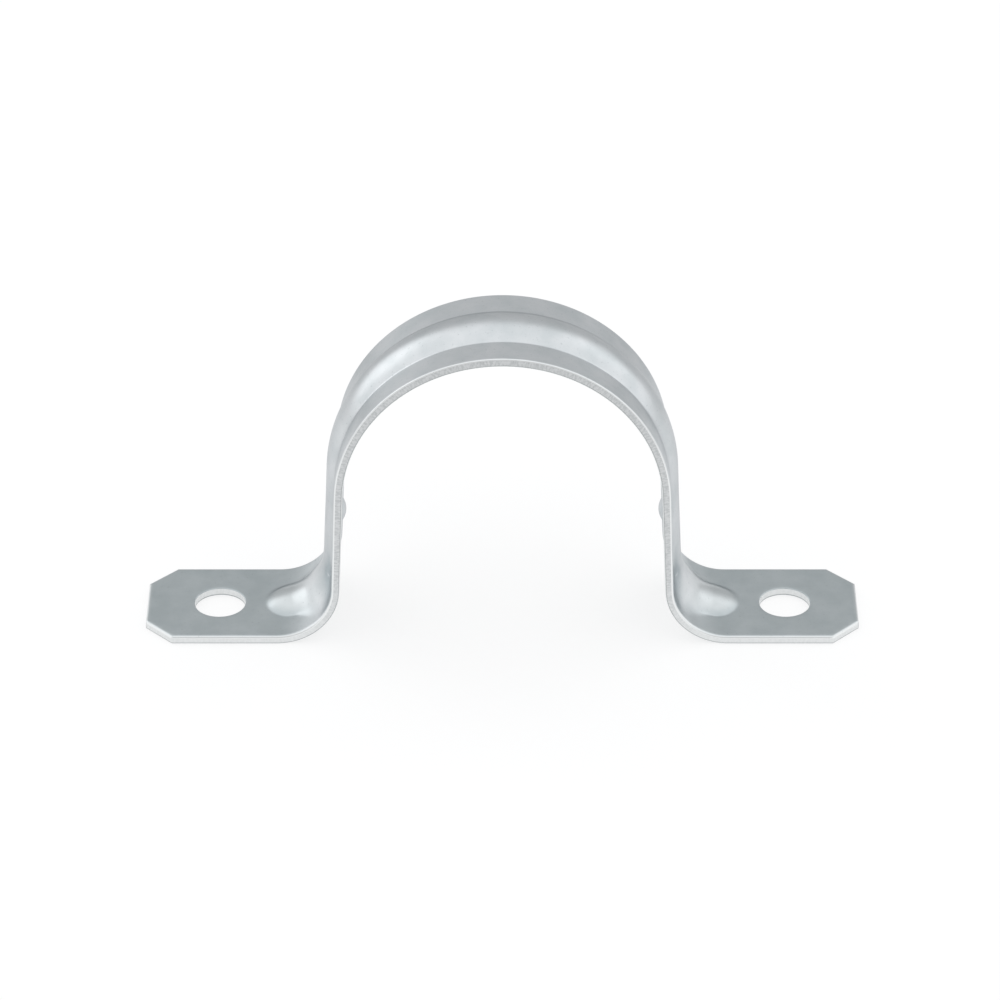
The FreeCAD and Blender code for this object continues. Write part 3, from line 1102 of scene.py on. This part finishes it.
@dataclass(frozen=True)
class ShearedZinc:
    """The same plating over the blank's sheared edge: pale, and darker next to the inner face.

    The punch leaves short drag lines and torn patches, which blur the edge more than the faces.
    A painted highlight makes it brightest on the feet. Sizes, reaches and depths are in millimetres.
    """

    colour: str = "#D6D8D9"
    torn_colour: str = "#C4C7C8"
    # Painted highlight: the sheared edge is brighter on the feet.
    foot_painted_light_colour: str = "#EEF0F0"
    # The sheared edge is darker towards the inner face of the sheet.
    inner_edge_dark_colour: str = "#9CA1A2"
    roughness: float = 0.4
    drag_width: float = 0.32
    drag_length: float = 0.9
    drag_detail: float = 2.0
    torn_band: Span = (0.4, 0.62)
    foot_highlight_span: Span = (50.0, 68.0)
    foot_highlight_share: float = 0.65
    inner_edge_dark_span: Span = (1.08, 1.28)
    relief_strength: float = 0.3
    relief_depth: float = 0.03

    def build(self) -> bpy.types.Material:
        """Makes the material for the sheared edges and hole walls.

        Returns:
            The new material.
        """
        material = empty_material("zinc_over_sheared_steel")
        tree = material.node_tree
        strip = add_node(tree, "Attribute", {".attribute_name": STRIP_FACTS})
        fine, long = 1 / (self.drag_width * MM), 1 / (self.drag_length * MM)
        drag = add_node(
            tree,
            "Mapping",
            {"Scale": (fine, fine, long)},
            {"Vector": strip.outputs["Vector"]},
        )
        lines = add_node(
            tree,
            "TexNoise",
            {"Scale": 1.0, "Detail": self.drag_detail},
            {"Vector": drag.outputs["Vector"]},
        )
        bump = add_node(
            tree,
            "Bump",
            {"Strength": self.relief_strength, "Distance": self.relief_depth * MM},
            {"Height": lines.outputs["Fac"]},
        )
        shader = add_node(
            tree,
            "BsdfPrincipled",
            {"Metallic": 1.0, "Roughness": self.roughness},
            {
                "Base Color": self.shade(tree, strip.outputs["Vector"], lines.outputs["Fac"]),
                "Normal": bump.outputs["Normal"],
            },
        )
        add_node(tree, "OutputMaterial", {}, {"Surface": shader.outputs["BSDF"]})
        return material

    def shade(self, tree: Tree, strip: Socket, lines: Socket) -> Socket:
        """Mixes the edge's colour from its torn patches, a painted highlight on the feet and a darker
        band next to the inner face.

        Args:
            tree: the material's nodes.
            strip: where each point lies on the flat strip.
            lines: the pattern of drag lines.

        Returns:
            The colour.
        """
        torn = add_node(
            tree,
            "MapRange",
            {"From Min": self.torn_band[0], "From Max": self.torn_band[1]},
            {"Value": lines},
        )
        tint = add_node(
            tree,
            "Mix",
            {
                ".data_type": "RGBA",
                MixInput.COLOUR_A: linear_rgba(self.colour),
                MixInput.COLOUR_B: linear_rgba(self.torn_colour),
            },
            {MixInput.SHARE: torn.outputs["Result"]},
        )
        # Painted highlight that brightens the sheared edge on the feet.
        start, end = self.foot_highlight_span
        on_foot = eased_level(tree, strip, "X", (start * MM, end * MM), (0.0, self.foot_highlight_share))
        split = add_node(tree, "SeparateXYZ", {}, {"Vector": strip})
        # The edge turns darker towards the inner face of the sheet.
        burr = add_node(
            tree,
            "MapRange",
            {"From Min": self.inner_edge_dark_span[0] * MM, "From Max": self.inner_edge_dark_span[1] * MM},
            {"Value": split.outputs["Z"]},
        )
        # The painted highlight on the feet, then the darker band next to the inner face.
        feet = (on_foot, self.foot_painted_light_colour)
        edge = (burr.outputs["Result"], self.inner_edge_dark_colour)
        return lay_over(tree, tint.outputs[MixOutput.COLOUR], (feet, edge))


@dataclass(frozen=True)
class Softbox:
    """A square soft lamp that faces the strap, with its lengths in millimetres."""

    name: str
    towards: tuple[float, float, float]
    distance: float
    side: float
    brightness: float

    def build(self) -> bpy.types.Object:
        """Hangs the lamp, with power enough for its face to have the stated brightness.

        Returns:
            The new lamp.
        """
        light = bpy.data.lights.new(self.name, "AREA")
        light.shape = "SQUARE"
        light.size = self.side * MM
        light.energy = self.brightness * math.pi * light.size**2
        lamp = bpy.data.objects.new(self.name, light)
        way = Vector(self.towards).normalized()
        lamp.location = way * self.distance * MM
        lamp.rotation_euler = way.to_track_quat("Z", "Y").to_euler()
        bpy.context.scene.collection.objects.link(lamp)
        return lamp


@dataclass(frozen=True)
class Studio:
    """A white floor inside a white light tent that is open to grey at its front and back.

    The metal sees the floor as a pool of light that fades with the distance to front or back,
    between two lengths in millimetres. Turning the openings makes the strap's left side brighter.
    """

    floor_radius: float = 6000.0
    floor_sides: int = 96
    floor_colour: str = "#949494"
    floor_lift: float = 0.715
    far_lift: float = 0.43
    pool_span: Span = (50.0, 185.0)
    back_grey: float = 0.6
    tent: float = 1.08
    tent_colour: str = "#FDFEFF"
    opening: float = 44.0
    softness: float = 9.0
    opening_turn: float = 4.0
    softboxes: tuple[Softbox, ...] = (
        Softbox("left_softbox", (-0.70, 0.56, 0.36), 1100.0, 640.0, 0.42),
        Softbox("right_softbox", (0.65, 0.58, 0.48), 1100.0, 600.0, 0.22),
    )

    def build_floor(self) -> bpy.types.Object:
        """Makes the floor, a large disc that keeps the strap's shadow.

        Returns:
            The new floor.
        """
        mesh = bpy.data.meshes.new("studio_floor")
        angle = np.linspace(0, 2 * math.pi, self.floor_sides, endpoint=False)
        rim = np.stack([np.cos(angle), np.sin(angle), np.zeros_like(angle)], axis=1)
        mesh.from_pydata((rim * self.floor_radius * MM).tolist(), [], [tuple(range(len(rim)))])
        floor = bpy.data.objects.new("studio_floor", mesh)
        bpy.context.scene.collection.objects.link(floor)
        mesh.materials.append(self.floor_material())
        return floor

    def floor_material(self) -> bpy.types.Material:
        """Makes matt paper, lifted to white where it is looked at straight or in a mirror.

        Returns:
            The new material.
        """
        material = empty_material("white_paper_floor")
        tree = material.node_tree
        path = add_node(tree, "LightPath")
        seen = path.outputs["Is Camera Ray"]
        for way in ("Is Glossy Ray", "Is Transmission Ray"):
            either = add_node(
                tree, "Math", {".operation": "MAXIMUM"}, {0: seen, 1: path.outputs[way]}
            )
            seen = either.outputs["Value"]
        where = add_node(tree, "TexCoord")
        span = (self.pool_span[0] * MM, self.pool_span[1] * MM)
        pool = eased_level(tree, where.outputs["Object"], "Y", span, (self.floor_lift, self.far_lift))
        level = add_node(
            tree,
            "Mix",
            {".data_type": "FLOAT", MixInput.LEVEL_B: self.floor_lift},
            {MixInput.SHARE: path.outputs["Is Camera Ray"], MixInput.LEVEL_A: pool},
        )
        lift = add_node(
            tree,
            "Math",
            {".operation": "MULTIPLY"},
            {0: seen, 1: level.outputs[MixOutput.LEVEL]},
        )
        paper = add_node(tree, "BsdfDiffuse", {"Color": linear_rgba(self.floor_colour)})
        glow = add_node(tree, "Emission", {}, {"Strength": lift.outputs["Value"]})
        both = add_node(
            tree, "AddShader", {}, {0: paper.outputs["BSDF"], 1: glow.outputs["Emission"]}
        )
        add_node(tree, "OutputMaterial", {}, {"Surface": both.outputs["Shader"]})
        return material

    def build_world(self) -> None:
        """Makes the light tent and the even grey outside it."""
        world = bpy.data.worlds.new("light_tent")
        bpy.context.scene.world = world
        world.use_nodes = True
        tree = world.node_tree
        tree.nodes.clear()
        where = add_node(tree, "TexCoord")
        turned = add_node(
            tree,
            "VectorRotate",
            {".rotation_type": "Z_AXIS", "Angle": math.radians(self.opening_turn)},
            {"Vector": where.outputs["Generated"]},
        )
        outer, inner = self.opening + self.softness, self.opening - self.softness
        rim = (math.cos(math.radians(outer)), math.cos(math.radians(inner)))
        level = eased_level(tree, turned.outputs["Vector"], "Y", rim, (self.tent, self.back_grey))
        sky = add_node(
            tree,
            "Background",
            {"Color": linear_rgba(self.tent_colour)},
            {"Strength": level},
        )
        add_node(tree, "OutputWorld", {}, {"Surface": sky.outputs["Background"]})

    def build_lamps(self) -> None:
        """Hangs the soft lamps."""
        for softbox in self.softboxes:
            softbox.build()


@dataclass(frozen=True)
class StudioCamera:
    """A long lens that looks down on the strap from in front, in millimetres and degrees."""

    lens: float = 180.53
    sensor: float = 36.0
    back: float = 648.38
    height: float = 435.17
    look_down: float = 32.621
    shift_x: float = -0.0024
    nearest: float = 10.0
    farthest: float = 50000.0

    def build(self) -> bpy.types.Object:
        """Makes the camera and sets it as the scene's.

        Returns:
            The new camera.
        """
        data = bpy.data.cameras.new("studio_camera")
        data.lens, data.sensor_width, data.shift_x = self.lens, self.sensor, self.shift_x
        data.clip_start, data.clip_end = self.nearest * MM, self.farthest * MM
        camera = bpy.data.objects.new("studio_camera", data)
        camera.location = (0, -self.back * MM, self.height * MM)
        camera.rotation_euler = (math.radians(90 - self.look_down), 0, 0)
        bpy.context.scene.collection.objects.link(camera)
        bpy.context.scene.camera = camera
        return camera


def main() -> None:
    """Builds the strap, its studio and the camera."""
    logging.basicConfig(level=logging.INFO, format="%(name)s: %(message)s")
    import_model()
    bpy.context.scene.view_settings.view_transform = "Standard"

    path = StripPath()
    strap = StrapSheet(path, PressedBead(path), SnapDimples(path), BlankOutline(path))
    piece = strap.build()
    for finish in (ZincPlate(), ShearedZinc()):
        piece.data.materials.append(finish.build())
    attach(piece, "root")
    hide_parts(NODE)
    mesh = piece.data
    LOG.info("%s: %d vertices, %d faces", piece.name, len(mesh.vertices), len(mesh.polygons))

    studio = Studio()
    studio.build_floor()
    studio.build_world()
    studio.build_lamps()
    StudioCamera().build()


if __name__ == "__main__":
    main()
